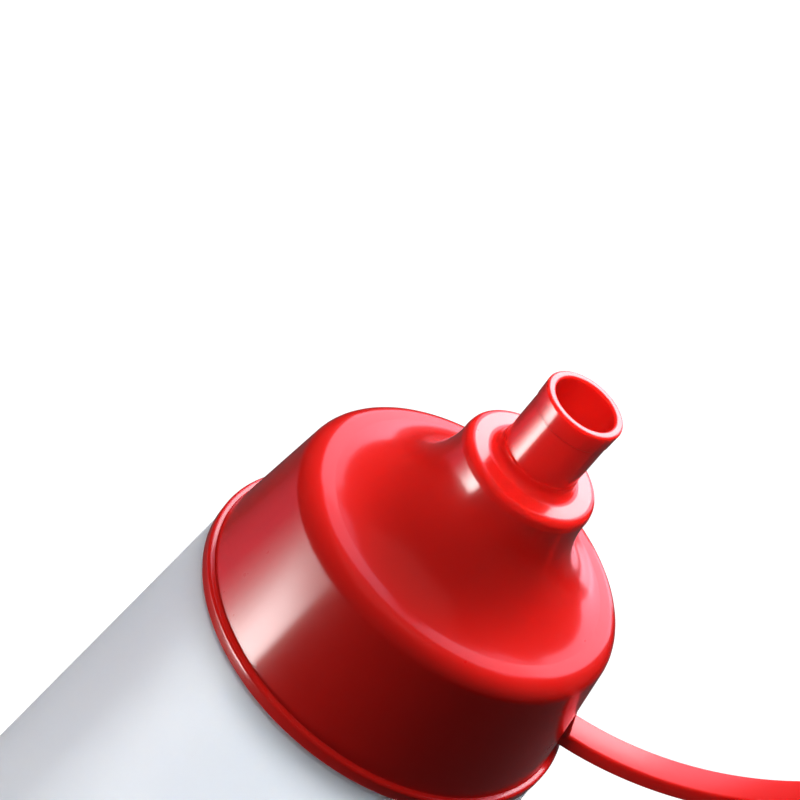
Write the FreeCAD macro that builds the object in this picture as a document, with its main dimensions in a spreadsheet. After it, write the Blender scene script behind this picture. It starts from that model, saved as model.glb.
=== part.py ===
import FreeCAD, Part
import math
import os
import Sketcher

# A squeeze bottle that stands on its base, with its axis on Z and the base at z = 0.
# Two mouldings: the blown bottle, and the closure, which is one piece with its pouring
# tube, the strap that leaves its skirt towards +X and the tip cap at the strap's end.

vec = FreeCAD.Vector
doc = FreeCAD.newDocument("squeeze_bottle")

# ---------------------------------------------------------------- driving dimensions
DIMENSIONS = [
    # the bottle
    ("total_height", 240.0, "base to the mouth of the tube"),
    ("body_radius", 36.0, "straight part of the body"),
    ("body_taper", 0.096, "how fast the upper body narrows, radius per height"),
    ("body_wall", 1.2, "wall of the body and the base"),
    ("heel_round", 4.5, "rounding between base and body"),
    ("body_top_round", 0.6, "edge at the top of the body"),
    ("neck_wall", 1.5, "wall of the neck"),
    # the closure: its height, its skirt and its rim
    ("closure_height", 52.5, "underside of the rim to the mouth"),
    ("closure_wall", 1.4, "wall of the closure"),
    ("shoulder_radius", 25.92, "skirt at the shoulder, edge taken sharp"),
    ("shoulder_drop", 29.85, "mouth down to the shoulder"),
    ("shoulder_round", 3.5, "rounding of the shoulder"),
    ("skirt_flare", 3.03, "how much wider the skirt is at its foot"),
    ("rim_stand", 1.05, "rim out from the foot of the skirt"),
    ("rim_height", 2.2, "height of the rim"),
    ("rim_round", 0.5, "edges of the rim"),
    ("rim_overhang", 0.35, "rim out from the body under it"),
    ("seat_gap", 0.3, "between the rim and the body's top face"),
    # the dished crown and the collar
    ("shoulder_width", 4.05, "from the dish to the edge of the shoulder"),
    ("shoulder_rise", 0.72, "from that edge up to the dish"),
    ("dish_round", 15.0, "hollow curve from the collar to the shoulder"),
    ("collar_radius", 10.43, "collar outside"),
    ("collar_draft", 0.15, "how much wider the collar is at its foot"),
    ("collar_drop", 12.83, "mouth down to the collar's ledge"),
    ("collar_height", 2.5, "straight side of the collar"),
    ("collar_round", 1.1, "edge of the collar's ledge"),
    # the pouring tube
    ("bore_radius", 4.75, "bore of the tube"),
    ("tube_wall", 1.15, "wall of the tube"),
    ("band_stand", 0.22, "band round the mouth, out from the tube"),
    ("band_height", 3.0, "height of that band"),
    ("lip_round", 0.4, "both edges of the mouth"),
    ("foot_stand", 0.2, "thicker foot of the tube, out from the tube"),
    ("foot_height", 2.0, "height of that foot"),
    ("foot_round", 1.4, "fillet between the foot and the ledge"),
    # the thread
    ("thread_depth", 1.0, "how far a thread stands out"),
    ("thread_gap", 0.4, "clearance round a thread"),
    ("thread_skin", 0.97, "closure between the thread and the shoulder's edge"),
    ("thread_lead", 6.0, "rise in one turn"),
    ("thread_turns", 1.25, "turns of thread on the neck"),
    ("thread_base", 2.4, "width at the root"),
    ("thread_crest", 0.8, "width at the crest"),
    ("thread_drop", 2.6, "lip of the neck down to the end of the thread"),
    # the strap and the tip cap
    ("strap_width", 5.4, "strap across"),
    ("strap_thickness", 2.5, "strap through"),
    ("strap_rise", 1.4, "rim up to the strap"),
    ("strap_curve", 48.7, "radius of the strap's middle line"),
    ("web_height", 4.5, "web above the strap's root"),
    ("web_reach", 1.0, "web out from the skirt"),
    ("tip_clearance", 0.1, "tip cap round the band of the tube"),
    ("tip_wall", 1.3, "wall of the tip cap"),
    ("tip_depth", 10.0, "depth of the tip cap"),
    ("tip_gap", 1.0, "strap between its curve and the tip cap"),
]
sheet = doc.addObject("Spreadsheet::Sheet", "dimensions")
for row, (alias, value, note) in enumerate(DIMENSIONS, start=1):
    sheet.set("A%d" % row, str(value))
    sheet.setAlias("A%d" % row, alias)
    sheet.set("B%d" % row, note)

# Levels and radii that follow from the driving dimensions.
DERIVED = [
    ("skirt_foot_radius", "shoulder_radius + skirt_flare"),
    ("rim_radius", "skirt_foot_radius + rim_stand"),
    ("body_top_radius", "rim_radius - rim_overhang"),
    ("rim_low", "total_height - closure_height"),
    ("rim_top", "rim_low + rim_height"),
    ("body_top", "rim_low - seat_gap"),
    ("cone_low", "body_top - (body_radius - body_top_radius) / body_taper"),
    ("shoulder_level", "total_height - shoulder_drop"),
    ("crest_level", "shoulder_level + shoulder_rise"),
    ("crest_radius", "shoulder_radius - shoulder_width"),
    ("ledge_level", "total_height - collar_drop"),
    ("collar_foot", "ledge_level - collar_height"),
    ("skirt_slope", "skirt_flare / (shoulder_level - rim_top)"),
    ("thread_wall", "shoulder_radius - thread_skin"),
    ("neck_radius", "thread_wall - thread_depth - thread_gap"),
    ("neck_inside", "neck_radius - neck_wall"),
    ("seat_inside", "neck_inside - closure_wall / 4"),
    ("lip_level", "shoulder_level - closure_wall - shoulder_round * 0.3"),
    ("thread_low", "lip_level - thread_drop - thread_lead * thread_turns"),
    ("cap_thread_low", "thread_low + thread_lead / 2"),
    ("cap_thread_turns", "thread_turns - 0.5"),
    ("relief_radius", "skirt_foot_radius - closure_wall"),
    ("tube_radius", "bore_radius + tube_wall"),
    ("band_radius", "tube_radius + band_stand"),
    ("foot_radius", "tube_radius + foot_stand"),
    ("strap_low", "rim_top + strap_rise"),
    ("strap_top", "strap_low + strap_thickness"),
    ("strap_root", "skirt_foot_radius - skirt_slope * (strap_top - rim_top)"),
    ("strap_inner", "strap_curve - strap_thickness / 2"),
    ("strap_outer", "strap_curve + strap_thickness / 2"),
    ("strap_end", "strap_top + strap_inner"),
    ("web_root", "strap_root - skirt_slope * web_height"),
    ("tip_bore", "band_radius + tip_clearance"),
    ("tip_radius", "tip_bore + tip_wall"),
    ("tip_level", "strap_end + tip_gap + tip_radius"),
    ("tip_back", "strap_root + strap_outer"),
    ("tip_plate", "tip_back - strap_thickness"),
    ("tip_mouth", "tip_plate - tip_depth"),
]
for row, (alias, formula) in enumerate(DERIVED, start=1):
    sheet.set("D%d" % row, "=" + formula)
    sheet.setAlias("D%d" % row, alias)
doc.recompute()

WORDS = [entry[0] for entry in DIMENSIONS] + [entry[0] for entry in DERIVED]


def bound(expression):
    """The expression with the sheet's name before each of its aliases."""
    words = sorted(WORDS, key=len, reverse=True)
    out = ""
    token = ""
    for letter in expression + " ":
        if letter.isalnum() or letter == "_":
            token += letter
            continue
        out += ("dimensions." + token) if token in words else token
        out += letter
        token = ""
    return out.strip()


def amount(expression):
    """The number that the expression gives now."""
    return float(sheet.evalExpression(bound(expression)))


def origin_plane(body, role):
    return [item for item in body.Origin.OriginFeatures if item.Role == role][0]


def new_sketch(body, name, role="XZ_Plane"):
    sketch = body.newObject("Sketcher::SketchObject", name)
    sketch.AttachmentSupport = [(origin_plane(body, role), "")]
    sketch.MapMode = "FlatFace"
    return sketch


def bind(sketch, index, expression):
    sketch.setExpression("Constraints[%d]" % index, bound(expression))


def place_point(sketch, geo, pos, across, up):
    """Holds one point of the sketch at its two expressions, or on an axis where one is 0."""
    for kind, axis, expression in (("DistanceX", -2, across), ("DistanceY", -1, up)):
        if expression == "0":
            sketch.addConstraint(Sketcher.Constraint("PointOnObject", geo, pos, axis))
        else:
            value = amount(expression)
            index = sketch.addConstraint(Sketcher.Constraint(kind, -1, 1, geo, pos, value))
            bind(sketch, index, expression)


def arc_between(start, end, radius, turn):
    """The short arc from start to end, turning left (+1) or right (-1)."""
    chord = end - start
    half = chord.Length / 2
    middle = (start + end) * 0.5
    normal = vec(-chord.y, chord.x, 0).normalize()
    sagitta = radius - math.sqrt(radius ** 2 - half ** 2)
    return Part.Arc(start, middle - normal * sagitta * turn, end)


def corner_round(before, corner, after, radius):
    """Where a rounding of a corner starts, passes and ends."""
    back = (before - corner).normalize()
    ahead = (after - corner).normalize()
    half = back.getAngle(ahead) / 2
    reach = radius / math.tan(half)
    centre = corner + (back + ahead).normalize() * (radius / math.sin(half))
    passing = centre + (corner - centre).normalize() * radius
    return corner + back * reach, passing, corner + ahead * reach


def outline(sketch, corners):
    """A closed outline through the corners, each (across, up) in the sheet's words.

    A third entry rounds the corner, ("round", radius), or makes the edge that leaves
    it an arc, ("arc", radius, turn).
    """
    count = len(corners)
    spots = [vec(amount(c[0]), amount(c[1]), 0) for c in corners]
    style = [c[2] if len(c) > 2 else None for c in corners]
    starts, ends, rounds = list(spots), list(spots), {}
    for i in range(count):
        if style[i] and style[i][0] == "round":
            radius = amount(style[i][1])
            first, passing, last = corner_round(spots[i - 1], spots[i], spots[(i + 1) % count], radius)
            ends[i], starts[i] = first, last
            rounds[i] = (first, passing, last)
    edge = {}
    for i in range(count):
        j = (i + 1) % count
        if style[i] and style[i][0] == "arc":
            turn = style[i][2]
            arc = arc_between(starts[i], ends[j], amount(style[i][1]), turn)
            geo = sketch.addGeometry(arc, False)
            edge[i] = (geo, 1, 2) if turn > 0 else (geo, 2, 1)
            index = sketch.addConstraint(Sketcher.Constraint("Radius", geo, amount(style[i][1])))
            bind(sketch, index, style[i][1])
        else:
            geo = sketch.addGeometry(Part.LineSegment(starts[i], ends[j]), False)
            edge[i] = (geo, 1, 2)
    for i in range(count):
        previous, following = edge[(i - 1) % count], edge[i]
        if i in rounds:
            first, passing, last = rounds[i]
            geo = sketch.addGeometry(Part.Arc(first, passing, last), False)
            cross = (passing - first).cross(last - passing).z
            near, far = (1, 2) if cross > 0 else (2, 1)
            mark = sketch.addGeometry(Part.Point(spots[i]), True)
            sketch.addConstraint(Sketcher.Constraint("Tangent", previous[0], previous[2], geo, near))
            sketch.addConstraint(Sketcher.Constraint("Tangent", geo, far, following[0], following[1]))
            index = sketch.addConstraint(Sketcher.Constraint("Radius", geo, amount(style[i][1])))
            bind(sketch, index, style[i][1])
            place_point(sketch, mark, 1, corners[i][0], corners[i][1])
            sketch.addConstraint(Sketcher.Constraint("PointOnObject", mark, 1, previous[0]))
            sketch.addConstraint(Sketcher.Constraint("PointOnObject", mark, 1, following[0]))
        else:
            sketch.addConstraint(Sketcher.Constraint(
                "Coincident", previous[0], previous[2], following[0], following[1]))
            place_point(sketch, following[0], following[1], corners[i][0], corners[i][1])


def turned(body, name, corners):
    """Revolves an outline of (radius, height) corners about the body's Z axis."""
    sketch = new_sketch(body, name + "_outline")
    outline(sketch, corners)
    feature = body.newObject("PartDesign::Revolution", name)
    feature.Profile = sketch
    feature.ReferenceAxis = (sketch, ["V_Axis"])
    return feature


def thread(body, name, root, crest, low, turns):
    """A ridge that climbs round Z between two radii, starting at the height low."""
    sketch = new_sketch(body, name + "_outline")
    outline(sketch, [
        (root, low + " - thread_base / 2"),
        (crest, low + " - thread_crest / 2"),
        (crest, low + " + thread_crest / 2"),
        (root, low + " + thread_base / 2"),
    ])
    ridge = body.newObject("PartDesign::AdditiveHelix", name)
    ridge.Profile = sketch
    ridge.ReferenceAxis = (sketch, ["V_Axis"])
    ridge.Mode = "pitch-turns-angle"
    ridge.Pitch = amount("thread_lead")
    ridge.Turns = amount(turns)
    ridge.setExpression("Pitch", bound("thread_lead"))
    ridge.setExpression("Turns", bound(turns))
    return ridge


# ---------------------------------------------------------------- the bottle
# One hollow blown shell: flat base, rounded heel, straight body, a long gentle cone up
# to the top face, then the neck with its thread. The neck is open.
bottle = doc.addObject("PartDesign::Body", "bottle")
bottle.Label = "bottle"
turned(bottle, "bottle_shell", [
    ("0", "0"),
    ("body_radius", "0", ("round", "heel_round")),
    ("body_radius", "cone_low"),
    ("body_top_radius", "body_top", ("round", "body_top_round")),
    ("neck_radius", "body_top"),
    ("neck_radius", "lip_level"),
    ("neck_inside", "lip_level"),
    ("neck_inside", "body_top - body_wall"),
    ("body_top_radius - body_wall", "body_top - body_wall"),
    ("body_radius - body_wall", "cone_low"),
    ("body_radius - body_wall", "body_wall", ("round", "heel_round - body_wall")),
    ("0", "body_wall"),
])
doc.recompute()
thread(bottle, "neck_thread", "neck_radius - neck_wall / 3", "neck_radius + thread_depth",
       "thread_low", "thread_turns")

# ---------------------------------------------------------------- the closure
# Tube with a band at its mouth, collar ledge, dished crown, rounded shoulder, flaring
# skirt and rim, all one shell. Its seat ring rests on the lip of the neck.
closure = doc.addObject("PartDesign::Body", "screw_cap")
closure.Label = "screw_cap"
turned(closure, "closure_shell", [
    ("bore_radius", "total_height", ("round", "lip_round")),
    ("bore_radius", "ledge_level - closure_wall"),
    ("collar_radius - closure_wall", "ledge_level - closure_wall"),
    ("collar_radius - closure_wall", "collar_foot", ("arc", "dish_round + closure_wall", 1)),
    ("seat_inside", "crest_level - closure_wall * 1.2"),
    ("seat_inside", "lip_level"),
    ("thread_wall", "lip_level"),
    ("thread_wall", "rim_top + closure_wall"),
    ("relief_radius", "rim_top"),
    ("relief_radius", "rim_low"),
    ("rim_radius", "rim_low", ("round", "rim_round")),
    ("rim_radius", "rim_top", ("round", "rim_round")),
    ("skirt_foot_radius", "rim_top"),
    ("shoulder_radius", "shoulder_level", ("round", "shoulder_round")),
    ("crest_radius", "crest_level", ("arc", "dish_round", -1)),
    ("collar_radius + collar_draft", "collar_foot"),
    ("collar_radius", "ledge_level", ("round", "collar_round")),
    ("foot_radius", "ledge_level", ("round", "foot_round")),
    ("foot_radius", "ledge_level + foot_height"),
    ("tube_radius", "ledge_level + foot_height + foot_radius - tube_radius"),
    ("tube_radius", "total_height - band_height - band_radius + tube_radius"),
    ("band_radius", "total_height - band_height"),
    ("band_radius", "total_height", ("round", "lip_round")),
])
doc.recompute()
thread(closure, "cap_thread", "thread_wall + neck_wall / 5", "neck_radius + thread_gap",
       "cap_thread_low", "cap_thread_turns")
doc.recompute()

# The strap: a flat band that leaves the skirt level and curls up through a quarter turn,
# with a thin web above its root. It starts inside the wall of the skirt.
band = new_sketch(closure, "strap_outline")
outline(band, [
    ("strap_root - closure_wall / 2", "strap_low"),
    ("strap_root", "strap_low", ("arc", "strap_outer", 1)),
    ("tip_back", "strap_end"),
    ("tip_back", "tip_level"),
    ("tip_plate", "tip_level"),
    ("tip_plate", "strap_end", ("arc", "strap_inner", -1)),
    ("strap_root + web_reach", "strap_top + web_reach ^ 2 / (2 * strap_inner)"),
    ("web_root", "strap_top + web_height"),
    ("web_root - closure_wall / 2", "strap_top + web_height"),
])
strap = closure.newObject("PartDesign::Pad", "strap")
strap.Profile = band
strap.Midplane = True
strap.Length = amount("strap_width")
strap.setExpression("Length", bound("strap_width"))
doc.recompute()

# The tip cap: a short cup on the strap's end that opens towards -X and fits the band.
cup = new_sketch(closure, "tip_cap_outline")
outline(cup, [
    ("tip_back", "tip_level"),
    ("tip_back", "tip_level + tip_radius", ("round", "rim_round")),
    ("tip_mouth", "tip_level + tip_radius"),
    ("tip_mouth", "tip_level + tip_bore"),
    ("tip_plate", "tip_level + tip_bore"),
    ("tip_plate", "tip_level"),
])
middle = [vec(amount(across), amount("tip_level"), 0) for across in ("tip_mouth", "tip_back")]
axis = cup.addGeometry(Part.LineSegment(middle[0], middle[1]), True)
place_point(cup, axis, 1, "tip_mouth", "tip_level")
place_point(cup, axis, 2, "tip_back", "tip_level")
tip_cap = closure.newObject("PartDesign::Revolution", "tip_cap")
tip_cap.Profile = cup
tip_cap.ReferenceAxis = (cup, ["Axis0"])
doc.recompute()

# ---------------------------------------------------------------- places, checks, files
for body in (bottle, closure):
    body.Placement = FreeCAD.Placement(vec(0, 0, 0), FreeCAD.Rotation())
doc.recompute()

for item in doc.Objects:
    if "Invalid" in item.State or "Error" in item.State:
        raise RuntimeError("%s is %s" % (item.Label, item.State))

os.makedirs("parts", exist_ok=True)
for body in (bottle, closure):
    shape = body.Shape
    if shape.isNull() or not shape.isValid() or len(shape.Solids) != 1:
        raise RuntimeError("%s has no valid single solid" % body.Label)
    box = shape.BoundBox
    print(body.Label, "volume %.0f mm3" % shape.Volume, "x %.1f..%.1f" % (box.XMin, box.XMax),
          "z %.1f..%.1f" % (box.ZMin, box.ZMax))
    shape.exportStep(os.path.join("parts", body.Label + ".step"))
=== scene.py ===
# %% [markdown]
# # A squeeze bottle, from its solids to its looks
# The solids give the sizes and the places. This scene dresses them: a milky blown
# bottle, and a glossy red closure with its pouring tube, strap and tip cap.
# Everything is in metres, with the base of the bottle at z = 0 and its axis on Z.

# %% Load the frame
import math

import bmesh
import bpy
from mathutils import Matrix, Vector


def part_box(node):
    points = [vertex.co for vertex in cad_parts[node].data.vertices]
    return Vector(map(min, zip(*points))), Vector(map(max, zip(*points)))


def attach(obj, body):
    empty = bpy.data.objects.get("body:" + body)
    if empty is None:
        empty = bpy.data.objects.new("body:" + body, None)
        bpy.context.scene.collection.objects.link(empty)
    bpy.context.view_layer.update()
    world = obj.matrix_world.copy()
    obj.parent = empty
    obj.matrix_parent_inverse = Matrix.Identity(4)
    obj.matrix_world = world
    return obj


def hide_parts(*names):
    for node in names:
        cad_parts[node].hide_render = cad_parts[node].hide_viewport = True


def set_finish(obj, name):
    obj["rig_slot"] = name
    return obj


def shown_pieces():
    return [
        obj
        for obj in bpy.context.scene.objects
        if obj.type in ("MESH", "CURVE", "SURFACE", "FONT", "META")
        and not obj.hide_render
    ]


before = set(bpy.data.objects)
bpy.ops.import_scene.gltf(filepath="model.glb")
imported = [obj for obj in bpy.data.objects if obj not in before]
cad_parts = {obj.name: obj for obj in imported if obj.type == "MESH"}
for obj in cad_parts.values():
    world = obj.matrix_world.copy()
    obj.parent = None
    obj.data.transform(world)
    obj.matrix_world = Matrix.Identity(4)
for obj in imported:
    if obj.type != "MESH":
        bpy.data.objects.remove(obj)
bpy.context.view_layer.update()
bottle_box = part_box("bottle")
cap_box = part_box("screw_cap")

# %% [markdown]
# ## Sizes
# The big sizes come from the boxes of the two solids: how wide and tall the bottle is,
# how wide the rim of the closure is and where its underside lies. The rest are the
# closure's own steps, measured down from the mouth of the tube in millimetres, because
# that is how such a moulding is drawn.

# %% Sizes that the solids give
MM = 0.001
body_radius = bottle_box[1][1]
rim_low = cap_box[0][2]
rim_radius = cap_box[1][1]
closure_height = 52.5 * MM
mouth = rim_low + closure_height
strap_back = cap_box[1][0]
lip_level = bottle_box[1][2]
print("body radius %.4f, rim radius %.4f, mouth at %.4f" % (body_radius, rim_radius, mouth))

# %% [markdown]
# ## Turning an outline into a solid
# Nearly everything here is round, so it is made the way a mould maker would turn it: a
# few corners give half of the section, the corners get their radii, and one full spin
# makes the surface. Bevelling the corners of a flat outline before the spin is cheaper
# and cleaner than bevelling thousands of faces after it, and each radius stays a number
# that can be read off a drawing.

# %% From corners to a rounded outline
def curved(start, end, radius, turn, count=28):
    """Points along the short arc between two corners, turning left (+1) or right (-1)."""
    start, end = Vector(start), Vector(end)
    chord = end - start
    half = chord.length / 2
    normal = Vector((-chord.y, chord.x)).normalized() * turn
    centre = (start + end) / 2 + normal * math.sqrt(radius ** 2 - half ** 2)
    reach = 2 * math.asin(half / radius) * turn
    spoke = start - centre
    points = []
    for step in range(1, count):
        points.append(centre + Matrix.Rotation(reach * step / count, 2) @ spoke)
    return [(p.x, p.y, 0) for p in points]


def rounded_outline(corners, segments=8):
    """A bmesh with one closed wire in the XZ plane; a corner is (across, up, radius)."""
    bm = bmesh.new()
    verts = [bm.verts.new((across, 0, up)) for across, up, _ in corners]
    bm.faces.new(verts)
    rounds = []
    for i, (_, _, radius) in enumerate(corners):
        if radius > 0:
            back = (verts[i - 1].co - verts[i].co).normalized()
            ahead = (verts[(i + 1) % len(verts)].co - verts[i].co).normalized()
            rounds.append((verts[i], radius / math.tan(back.angle(ahead) / 2)))
    for vert, offset in rounds:
        bmesh.ops.bevel(bm, geom=[vert], offset=offset, offset_type="OFFSET", segments=segments,
                        profile=0.5, affect="VERTICES", clamp_overlap=True, material=-1)
    bmesh.ops.delete(bm, geom=list(bm.faces), context="FACES_ONLY")
    return bm


def turned(corners, steps=192, segments=8):
    """The outline spun once round Z, with its poles closed and its faces outwards."""
    bm = rounded_outline(corners, segments)
    on_axis = [e for e in bm.edges if all(abs(v.co.x) < 1e-7 for v in e.verts)]
    bmesh.ops.delete(bm, geom=on_axis, context="EDGES")
    bmesh.ops.spin(bm, geom=list(bm.verts) + list(bm.edges), cent=(0, 0, 0), axis=(0, 0, 1),
                   angle=2 * math.pi, steps=steps, use_merge=True)
    bmesh.ops.remove_doubles(bm, verts=bm.verts, dist=1e-7)
    bmesh.ops.recalc_face_normals(bm, faces=bm.faces)
    return bm


def finished(bm, name, node, slot, sharp=40):
    """Makes the bmesh an object that stands for a solid and rides on the bottle."""
    mesh = bpy.data.meshes.new(name)
    bm.to_mesh(mesh)
    bm.free()
    mesh.shade_smooth()
    mesh.set_sharp_from_angle(angle=math.radians(sharp))
    piece = bpy.data.objects.new(name, mesh)
    bpy.context.collection.objects.link(piece)
    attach(piece, "root")
    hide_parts(node)
    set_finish(piece, slot)
    print(name, len(mesh.polygons), "faces")


# %% [markdown]
# ## The bottle
# The bottle is blown from soft polyethylene, so its wall is thin everywhere: a flat
# base with a shallow recess and a rounded heel, a straight body, a long gentle cone and
# a flat top face round the neck. One outline holds the outside and the inside, and the
# spin gives a real wall that light can pass through.

# %% The bottle's shell
wall = 1.2 * MM
rim_overhang = 0.35 * MM
body_top_radius = rim_radius - rim_overhang
body_top = rim_low - 0.3 * MM
cone_lean = 0.096
cone_low = body_top - (body_radius - body_top_radius) / cone_lean
cone_round = 60 * MM
neck_radius = 23.55 * MM
neck_inside = 22.05 * MM
base_recess = 0.6 * MM
finished(turned([
    (0, base_recess, 0),
    (body_radius * 0.62, base_recess, 4 * MM),
    (body_radius * 0.72, 0, 3 * MM),
    (body_radius, 0, 4.5 * MM),
    (body_radius, cone_low, cone_round),
    (body_top_radius, body_top, 0.6 * MM),
    (neck_radius, body_top, 0.3 * MM),
    (neck_radius, lip_level, 0.3 * MM),
    (neck_inside, lip_level, 0.3 * MM),
    (neck_inside, body_top - wall, 0.8 * MM),
    (body_top_radius - wall, body_top - wall, 0.5 * MM),
    (body_radius - wall, cone_low, cone_round),
    (body_radius - wall, wall, 3.3 * MM),
    (0, wall, 0),
], steps=224), "bottle_shell", "bottle", "bottle_plastic")

# %% The parting line
# The two halves of the blow mould leave a fine raised line down each side of the body,
# from just above the heel to just under the top face, a little off the strap's side.
# Each ridge is sunk to the middle of the wall, so that it joins it all the way.
seam_width, seam_stand, seam_sunk = 0.6 * MM, 0.05 * MM, wall / 2
seam_turn = math.radians(-12)
seam_low, seam_end = 5 * MM, 1.5 * MM
seam_high = body_top - seam_end
for name, side in (("seam_right", 0), ("seam_left", math.pi)):
    seam = bmesh.new()
    outline = [seam.verts.new((across, -seam_width / 2, up)) for across, up in (
        (body_radius - seam_sunk, seam_low),
        (body_radius + seam_stand, seam_low),
        (body_radius + seam_stand, cone_low),
        (body_top_radius + seam_end * cone_lean + seam_stand, seam_high),
        (body_top_radius - seam_sunk, seam_high),
        (body_radius - seam_sunk, cone_low),
    )]
    seam.faces.new(outline)
    bmesh.ops.bevel(seam, geom=[outline[2], outline[5]], segments=8, profile=0.5,
                    offset=cone_round * math.tan(math.atan(cone_lean) / 2),
                    offset_type="OFFSET", affect="VERTICES", material=-1)
    grown = bmesh.ops.extrude_face_region(seam, geom=list(seam.faces))
    bmesh.ops.translate(seam, vec=(0, seam_width, 0),
                        verts=[v for v in grown["geom"] if isinstance(v, bmesh.types.BMVert)])
    bmesh.ops.transform(seam, matrix=Matrix.Rotation(seam_turn + side, 4, "Z"), verts=seam.verts)
    bmesh.ops.recalc_face_normals(seam, faces=seam.faces)
    finished(seam, name, "bottle", "bottle_plastic")

# %% [markdown]
# ## The closure's shell
# One moulding from the mouth of the tube to the rim. From the top: the tube with a
# slightly proud band round its mouth, a filleted foot, the flat ledge of the collar, a
# hollow dish that flares out to a soft shoulder, the skirt and the rim. Each edge has
# the small radius that a mould leaves, because on glossy plastic those radii are what
# catches the light.

# %% The closure's outline
def down(drop):
    """A height measured down from the mouth of the tube, in millimetres."""
    return mouth - drop * MM


closure_wall = 1.4 * MM
band_end, ledge, dish_top = 3.0, 12.83, 15.33
crest_drop, shoulder_drop, skirt_end = 29.13, 29.85, 50.3
bore, tube, band, foot = 4.75 * MM, 5.9 * MM, 6.12 * MM, 6.1 * MM
collar, collar_foot = 10.43 * MM, 10.62 * MM
shoulder, crest, skirt_foot = 25.92 * MM, 21.87 * MM, 28.95 * MM
dish_high, dish_low = (collar_foot, down(dish_top)), (crest, down(crest_drop))
dish_inside_high = (collar - closure_wall, down(dish_top))
dish_inside_low = (neck_inside - 0.35 * MM, down(crest_drop) - closure_wall * 1.2)
thread_wall = 24.95 * MM
outside = [
    (bore, mouth, 0.4 * MM),
    (band, mouth, 0.4 * MM),
    (band - 0.12 * MM, down(band_end), 0.06 * MM),
    (tube, down(band_end + 0.1), 0.06 * MM),
    (tube, down(ledge - 2.2), 0.3 * MM),
    (foot, down(ledge - 2.0), 0.3 * MM),
    (foot, down(ledge), 1.4 * MM),
    (collar - 0.12 * MM, down(ledge), 1.2 * MM),
    (collar_foot, down(14.5), 1.5 * MM),
    (*dish_high, 0),
] + curved(dish_high, dish_low, 15 * MM, 1) + [
    (*dish_low, 2.5 * MM),
    (shoulder, down(shoulder_drop), 3.5 * MM),
    (skirt_foot, down(skirt_end), 0.15 * MM),
    (rim_radius, down(skirt_end), 0.5 * MM),
    (rim_radius, rim_low, 0.5 * MM),
]
inside = [
    (skirt_foot - closure_wall, rim_low, 0.3 * MM),
    (skirt_foot - closure_wall, down(skirt_end - 0.3), 0.5 * MM),
    (thread_wall, down(skirt_end - 1.8), 0.5 * MM),
    (thread_wall, lip_level, 0),
    (dish_inside_low[0], lip_level, 0.2 * MM),
    (*dish_inside_low, 0),
] + curved(dish_inside_low, dish_inside_high, 16.4 * MM, -1) + [
    (*dish_inside_high, 0),
    (collar - closure_wall, down(ledge) - closure_wall, 0.5 * MM),
    (bore, down(ledge) - closure_wall, 0.3 * MM),
]
finished(turned(outside + inside, steps=256), "closure_shell", "screw_cap", "cap_plastic")

# %% The threads
thread_lead, thread_turns, thread_drop = 6 * MM, 1.25, 2.6 * MM
thread_depth, thread_gap = 1.0 * MM, 0.4 * MM
root_half, crest_half = 1.2 * MM, 0.4 * MM
thread_low = lip_level - thread_drop - thread_turns * thread_lead


def thread(name, node, slot, root, crest, low, turns):
    """A ridge that climbs round the axis; root and crest are the radii it spans."""
    bm = bmesh.new()
    section = [bm.verts.new((across, 0, low + up)) for across, up in (
        (root, -root_half), (crest, -crest_half), (crest, crest_half), (root, root_half))]
    edges = [bm.edges.new((section[i - 1], section[i])) for i in range(len(section))]
    steps = int(96 * turns)
    bmesh.ops.spin(bm, geom=section + edges, axis=(0, 0, 1), angle=2 * math.pi * turns,
                   dvec=(0, 0, thread_lead * turns / steps), steps=steps)
    bmesh.ops.remove_doubles(bm, verts=bm.verts, dist=1e-7)
    bmesh.ops.holes_fill(bm, edges=bm.edges, sides=len(section))
    bmesh.ops.recalc_face_normals(bm, faces=bm.faces)
    finished(bm, name, node, slot, sharp=30)


thread("neck_thread", "bottle", "bottle_plastic", neck_radius - 0.5 * MM,
       neck_radius + thread_depth, thread_low, thread_turns)
thread("cap_thread", "screw_cap", "cap_plastic", thread_wall + 0.3 * MM,
       neck_radius + thread_gap, thread_low + thread_lead / 2, thread_turns - 0.5)

# %% [markdown]
# ## Strap and tip cap
# The strap is a flat band moulded with the skirt. It leaves the skirt level, just above
# the rim, and curls up through a quarter turn. A rounded rectangle is drawn once, pulled
# out of the skirt, spun round the curl's centre and pulled up to the tip cap. The spin
# leaves its first face inside the strap, so that face is taken out again.

# %% The strap
strap_width, strap_thickness = 5.4 * MM, 2.5 * MM
strap_low = down(skirt_end) + 1.4 * MM
strap_middle = strap_low + strap_thickness / 2
strap_root = 28.37 * MM
curl = strap_back - strap_root - strap_thickness / 2
tip_gap = 1.0 * MM
tip_bore, tip_radius = 6.22 * MM, 7.52 * MM
tip_level = strap_middle + curl + tip_gap + tip_radius


def pulled(bm, faces, move):
    """Extrudes the faces by a vector and returns the new end face."""
    grown = bmesh.ops.extrude_face_region(bm, geom=faces)
    verts = [item for item in grown["geom"] if isinstance(item, bmesh.types.BMVert)]
    bmesh.ops.translate(bm, verts=verts, vec=move)
    bmesh.ops.delete(bm, geom=faces, context="FACES_ONLY")
    return [item for item in grown["geom"] if isinstance(item, bmesh.types.BMFace)]


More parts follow.
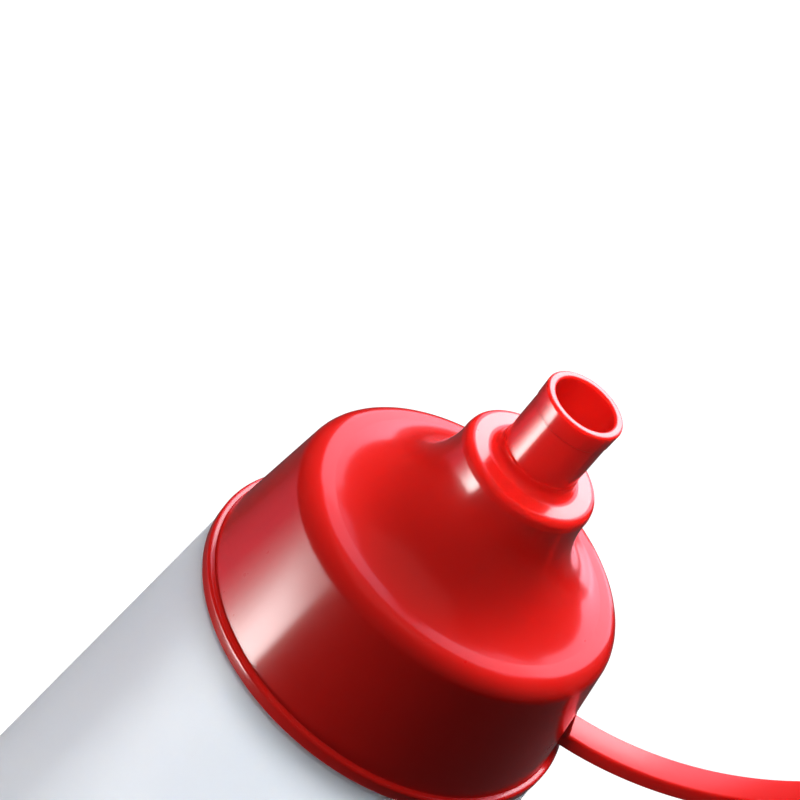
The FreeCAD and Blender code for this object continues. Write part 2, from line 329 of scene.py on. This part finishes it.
strap = bmesh.new()
half_width, half_thickness = strap_width / 2, strap_thickness / 2
section = [strap.verts.new((strap_root - closure_wall / 2, side * half_width,
                            strap_middle + up * half_thickness))
           for side, up in ((-1, -1), (1, -1), (1, 1), (-1, 1))]
strap.faces.new(section)
bmesh.ops.bevel(strap, geom=section, offset=0.45 * MM, offset_type="OFFSET", segments=5,
                profile=0.5, affect="VERTICES", material=-1)
end = pulled(strap, list(strap.faces), (closure_wall / 2, 0, 0))
turn = bmesh.ops.spin(strap, geom=end, cent=(strap_root, 0, strap_middle + curl), axis=(0, 1, 0),
                      angle=-math.pi / 2, steps=72)
bmesh.ops.delete(strap, geom=end, context="FACES_ONLY")
end = [item for item in turn["geom_last"] if isinstance(item, bmesh.types.BMFace)]
pulled(strap, end, (0, 0, tip_gap + tip_radius))
bmesh.ops.remove_doubles(strap, verts=strap.verts, dist=1e-7)
bmesh.ops.holes_fill(strap, edges=strap.edges, sides=0)
bmesh.ops.recalc_face_normals(strap, faces=strap.faces)
finished(strap, "strap", "screw_cap", "cap_plastic", sharp=60)

# %% The web above the strap's root
web = bmesh.new()
skirt_lean = (skirt_foot - shoulder) / ((skirt_end - shoulder_drop) * MM)
web_rise = 4.5 * MM
web_low = strap_low + strap_thickness * 0.6
web_high = strap_low + strap_thickness + web_rise
corners = [
    (strap_root - closure_wall / 2, web_low),
    (strap_root + 1.0 * MM, web_low),
    (strap_root + 1.0 * MM, strap_low + strap_thickness),
    (strap_root - skirt_lean * web_rise, web_high),
    (strap_root - skirt_lean * web_rise - closure_wall / 2, web_high),
]
side = web.faces.new([web.verts.new((x, -half_width, z)) for x, z in corners])
pulled(web, [side], (0, strap_width, 0))
web.faces.new([v for v in web.verts if v.co.y < 0])
bmesh.ops.recalc_face_normals(web, faces=web.faces)
bmesh.ops.bevel(web, geom=list(web.edges), offset=0.3 * MM, offset_type="OFFSET", segments=4,
                profile=0.5, affect="EDGES", material=-1)
finished(web, "strap_web", "screw_cap", "cap_plastic", sharp=60)

# %% The tip cap
tip_depth = 10 * MM
tip = turned([
    (0, 0, 0),
    (tip_radius, 0, 0.5 * MM),
    (tip_radius, strap_thickness + tip_depth, 0.4 * MM),
    (tip_bore, strap_thickness + tip_depth, 0.4 * MM),
    (tip_bore, strap_thickness, 0.5 * MM),
    (0, strap_thickness, 0),
], steps=96)
place = Matrix.Translation((strap_back, 0, tip_level)) @ Matrix.Rotation(-math.pi / 2, 4, "Y")
bmesh.ops.transform(tip, matrix=place, verts=tip.verts)
finished(tip, "tip_cap", "screw_cap", "cap_plastic")

# %% [markdown]
# ## Finishes
# Shader maths reads best as plain sums, so a small class wraps a socket: adding or
# multiplying two of them adds the Math node that does it. Everything else, from noise
# to the plastic itself, comes from one method that takes a node's type, its settings
# and what goes into its sockets.

# %% A socket that does sums
class Amount:
    """A number that varies over the surface; sums on it become Math nodes."""

    def __init__(self, finish, socket):
        self.finish, self.socket = finish, socket

    def maths(self, operation, *others):
        node = self.finish.node("ShaderNodeMath", {"operation": operation}, [self, *others])
        return Amount(self.finish, node.outputs[0])

    def __add__(self, other):
        return self.maths("ADD", other)

    __radd__ = __add__

    def __mul__(self, other):
        return self.maths("MULTIPLY", other)


class Finish:
    """One material and the nodes in it."""

    def __init__(self, name):
        self.material = bpy.data.materials.new(name)
        self.material.use_nodes = True
        self.tree = self.material.node_tree
        self.tree.nodes.clear()

    def node(self, kind, settings=None, inputs=()):
        made = self.tree.nodes.new(kind)
        for key, value in (settings or {}).items():
            setattr(made, key, value)
        pairs = inputs.items() if isinstance(inputs, dict) else enumerate(inputs)
        for key, value in pairs:
            if isinstance(value, Amount):
                value = value.socket
            if isinstance(value, bpy.types.NodeSocket):
                self.tree.links.new(value, made.inputs[key])
            else:
                made.inputs[key].default_value = value
        return made

    def place(self):
        return self.node("ShaderNodeTexCoord").outputs["Object"]

    def noise(self, scale, detail=2.0, roughness=0.5, stretch=(1, 1, 1)):
        mapping = self.node("ShaderNodeMapping", {"vector_type": "POINT"},
                            {"Vector": self.place(), "Scale": stretch})
        made = self.node("ShaderNodeTexNoise", {"noise_dimensions": "3D"},
                         {"Vector": mapping.outputs[0], "Scale": scale, "Detail": detail,
                          "Roughness": roughness})
        return Amount(self, made.outputs[0])

    def blend(self, amount, first, second):
        """Two colours mixed by an amount."""
        made = self.node("ShaderNodeMix", {"data_type": "RGBA"},
                         {0: amount, 6: first, 7: second})
        return made.outputs[2]

    def bump(self, height, strength, distance, under=None):
        inputs = {"Height": height, "Strength": strength, "Distance": distance}
        if under is not None:
            inputs["Normal"] = under
        return self.node("ShaderNodeBump", {}, inputs).outputs["Normal"]

    def surface(self, **sockets):
        plastic = self.node("ShaderNodeBsdfPrincipled", {},
                            {key.replace("_", " "): value for key, value in sockets.items()})
        out = self.node("ShaderNodeOutputMaterial")
        self.tree.links.new(plastic.outputs[0], out.inputs["Surface"])
        return self.material


# %% [markdown]
# ### Glossy red plastic
# The closure is injection moulded in a strong red. The gloss is high but not perfect:
# the wall sinks a little as it cools, which bends reflections slowly, handling leaves
# the shine uneven, and the colour is a touch deeper where the pigment flowed unevenly.

# %% The red finish
def red_finish(name, gloss, coat, coat_roughness, texture):
    """Red plastic; a higher gloss number is a duller skin, texture is the grain's depth."""
    red = Finish(name)
    flow = red.noise(55, detail=3.0)
    handled = red.noise(240, detail=4.0, roughness=0.6)
    sink = red.noise(38, detail=1.0)
    ripple = red.noise(130, detail=2.0)
    grain = red.noise(2600, detail=2.0)
    colour = red.blend(flow, (0.55, 0.008, 0.006, 1), (0.63, 0.012, 0.009, 1))
    relief = red.bump(sink, 0.3, 0.0006)
    relief = red.bump(ripple, 0.25, 0.00012, relief)
    relief = red.bump(grain, 0.12, texture, relief)
    return red.surface(Base_Color=colour, Roughness=gloss + handled * 0.12, Normal=relief,
                       IOR=1.32, Coat_Weight=coat, Coat_Roughness=coat_roughness, Coat_IOR=1.58,
                       Subsurface_Weight=0.45, Subsurface_Radius=(1.0, 0.06, 0.03),
                       Subsurface_Scale=0.003)


red_plastic = red_finish("glossy_red_plastic", 0.24, 1.0, 0.14, 0.00002)
flexed_plastic = red_finish("flexed_red_plastic", 0.42, 0.9, 0.26, 0.00003)

# %% [markdown]
# ### Milky polyethylene
# Soft blown polyethylene is cloudy all through: light goes in, wanders and comes out
# again a little further on, which is what subsurface scattering does. The skin is satin
# rather than glossy, with a faint vertical draw from the blowing.

# %% The milky finish
milk = Finish("milky_polyethylene")
cloud = milk.noise(28, detail=3.0)
draw = milk.noise(420, detail=2.0, stretch=(1, 1, 0.06))
skin = milk.noise(1500, detail=3.0)
colour = milk.blend(cloud, (0.565, 0.62, 0.715, 1), (0.615, 0.665, 0.755, 1))
relief = milk.bump(draw, 0.2, 0.00008)
relief = milk.bump(skin, 0.25, 0.00003, relief)
milky_plastic = milk.surface(Base_Color=colour, Roughness=0.42 + skin * 0.1,
                             IOR=1.42, Normal=relief, Subsurface_Weight=0.8,
                             Subsurface_Radius=(1.0, 1.1, 1.25), Subsurface_Scale=0.004)

# %% Every piece gets its finish
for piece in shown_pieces():
    piece.data.materials.clear()
    if piece.get("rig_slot") == "bottle_plastic":
        piece.data.materials.append(milky_plastic)
    elif piece.name == "strap":
        piece.data.materials.append(flexed_plastic)
    else:
        piece.data.materials.append(red_plastic)
    print(piece.name, "is", piece.data.materials[0].name)

# %% [markdown]
# ## The stage
# A white floor and a white world, as the camera sees them. To everything else both are
# nearly black, so they shed little on the object and the dark side of the closure stays
# deep: what lights the object is the set of lamps below. The floor mixes a glow with a
# pale diffuse paper, so that it is white and still takes the bottle's shadow.

# %% Floor
floor_mesh = bmesh.new()
bmesh.ops.create_grid(floor_mesh, x_segments=1, y_segments=1, size=3.0)
mesh = bpy.data.meshes.new("floor")
floor_mesh.to_mesh(mesh)
floor_mesh.free()
floor = bpy.data.objects.new("floor", mesh)
bpy.context.collection.objects.link(floor)
paper = Finish("white_paper")
pale = paper.node("ShaderNodeBsdfDiffuse", {}, {"Color": (0.6, 0.6, 0.6, 1)})
glow = paper.node("ShaderNodeEmission", {}, {"Color": (1, 1, 1, 1), "Strength": 1.18})
shown = paper.node("ShaderNodeMixShader", {}, {0: 0.8, 1: pale.outputs[0], 2: glow.outputs[0]})
quiet = paper.node("ShaderNodeBsdfDiffuse", {}, {"Color": (0.04, 0.04, 0.04, 1)})
seen = paper.node("ShaderNodeLightPath").outputs["Is Camera Ray"]
mixed = paper.node("ShaderNodeMixShader", {}, {0: seen, 1: quiet.outputs[0], 2: shown.outputs[0]})
paper.tree.links.new(mixed.outputs[0], paper.node("ShaderNodeOutputMaterial").inputs["Surface"])
mesh.materials.append(paper.material)

# %% World
world = bpy.data.worlds.new("studio")
bpy.context.scene.world = world
world.use_nodes = True
tree = world.node_tree
tree.nodes.clear()
out = tree.nodes.new("ShaderNodeOutputWorld")
mix = tree.nodes.new("ShaderNodeMixShader")
path = tree.nodes.new("ShaderNodeLightPath")
dim = tree.nodes.new("ShaderNodeBackground")
dim.inputs["Color"].default_value = (1, 1, 1, 1)
dim.inputs["Strength"].default_value = 0.024
white = tree.nodes.new("ShaderNodeBackground")
white.inputs["Color"].default_value = (1, 1, 1, 1)
white.inputs["Strength"].default_value = 1.0
tree.links.new(path.outputs["Is Camera Ray"], mix.inputs[0])
tree.links.new(dim.outputs[0], mix.inputs[1])
tree.links.new(white.outputs[0], mix.inputs[2])
tree.links.new(mix.outputs[0], out.inputs["Surface"])

# %% [markdown]
# ## Camera and lights
# The camera looks down on the closure from a short way off and is rolled, so that the
# upright bottle runs from the lower left to the upper right of the picture. The lights
# are placed by angle round the closure: how far round, how high and how far away.
#
# Glossy plastic shows its surroundings, so each lamp is made for what it puts on the
# closure. A row of nested panels on the left, all sharing their right edge, gives the
# skirt's bright stripe a sharp side and a soft one, and red panels further round warm
# the skirt's left edge. A big soft wall behind, with a bright core and a small panel to
# its right, gives the crest and the ledge their pink shine. The rest show in no
# reflection: they light the dish from behind and above, send a little light down the
# tube, and light the body and the strap from the front in narrow beams.

# %% Camera
STRAP_TURN = math.radians(12)
back, above = 324.5 * MM, 198.7 * MM
pitch, yaw, roll = math.radians(33.82), math.radians(-3.5), math.radians(38.81)
ahead = Vector((math.sin(yaw) * math.cos(pitch), math.cos(yaw) * math.cos(pitch), -math.sin(pitch)))
level = Vector((math.cos(yaw), -math.sin(yaw), 0))
upright = level.cross(ahead)
across = level * math.cos(roll) + upright * math.sin(roll)
up = upright * math.cos(roll) - level * math.sin(roll)
frame_turn = Matrix.Rotation(-STRAP_TURN, 3, "Z")
axes = frame_turn @ Matrix((across, up, -ahead)).transposed()
camera_data = bpy.data.cameras.new("camera")
camera = bpy.data.objects.new("camera", camera_data)
bpy.context.collection.objects.link(camera)
camera_data.lens = 127.5
camera_data.sensor_width = 36
stand = frame_turn @ Vector((0, -back, mouth + above))
camera.matrix_world = Matrix.Translation(stand) @ axes.to_4x4()
bpy.context.scene.camera = camera


# %% Lights
def soft_light(name, azimuth, elevation, distance, width, height, brightness, aim=down(40),
               spread=180, mirrored=True, colour=(1, 1, 1), sheds=True, aside=0.0):
    """An area light aimed at the axis or aside from it, towards the strap.

    Azimuth 0 is the camera's side and 90 is to its right. A light that isn't mirrored
    shows in no reflection, and one that doesn't shed shows in nothing else.
    """
    a, e = math.radians(azimuth) - STRAP_TURN, math.radians(elevation)
    target = Vector((aside, 0, aim))
    away = Vector((math.sin(a) * math.cos(e), -math.cos(a) * math.cos(e), math.sin(e)))
    data = bpy.data.lights.new(name, "AREA")
    data.shape, data.size, data.size_y = "RECTANGLE", width, height
    data.energy = brightness * math.pi * width * height
    data.spread, data.color = math.radians(spread), colour
    lamp = bpy.data.objects.new(name, data)
    bpy.context.collection.objects.link(lamp)
    turn = away.to_track_quat("Z", "Y").to_matrix().to_4x4()
    lamp.matrix_world = Matrix.Translation(target + away * distance) @ turn
    lamp.visible_glossy = mirrored
    lamp.visible_diffuse = sheds
    print(name, "at", [round(c, 2) for c in lamp.matrix_world.translation])


KEY_EDGE, KEY_LOW, KEY_AWAY = -42, -25.5, 0.31
for step, brightness in enumerate((1.0, 2.5, 3.0, 2.5, 1.8, 1.0, 0.6, 0.35, 0.25)):
    half = 4.8 + 2.4 * step
    width = 2 * KEY_AWAY * math.tan(math.radians(half))
    soft_light("key_%d" % step, KEY_EDGE - half, KEY_LOW, KEY_AWAY, width, 0.094, brightness,
               colour=(1, 0.96, 0.94))
for step, width in enumerate((0.30, 0.24, 0.18, 0.12)):
    soft_light("left_glow_%d" % step, -94 + 2 * step, -25, KEY_AWAY, width, 0.090, 0.32,
               colour=(1, 0.14, 0.22), sheds=False)
soft_light("back_wall", 180, 28, 0.75, 0.80, 0.62, 1.55, colour=(0.95, 0.76, 1.0))
soft_light("back_wall_top", 180, 58, 0.75, 0.60, 0.18, 0.8, colour=(0.95, 0.70, 1.0))
soft_light("back_right", 165, 0, 0.40, 0.07, 0.12, 1.4, colour=(1.0, 0.78, 0.98))
soft_light("back_core", 180, 33, 0.70, 0.26, 0.20, 5.0, colour=(1.0, 0.94, 0.96))
soft_light("behind", 172, 50, 0.60, 0.30, 0.30, 17, mirrored=False)
soft_light("overhead", -80, 80, 0.60, 0.45, 0.45, 5.0, mirrored=False)
soft_light("mouth_snoot", 0, 62, 0.25, 0.025, 0.025, 1.4, aim=down(5), spread=6,
           mirrored=False)
soft_light("low_fill", 40, 0, 0.45, 0.26, 0.186, 1.2, aim=0.0915, spread=1.5,
           mirrored=False)
soft_light("strap_fill", -12, 0, 0.30, 0.045, 0.075, 0.36, aim=0.223, spread=1.5,
           mirrored=False, aside=0.057)
soft_light("low_left", -50, 0, 0.45, 0.26, 0.186, 0.25, aim=0.0915, spread=1.5,
           mirrored=False)

# %% Colours are shown as they are written
bpy.context.scene.view_settings.view_transform = "Standard"

# %% Bring the scene up to date
bpy.context.view_layer.update()
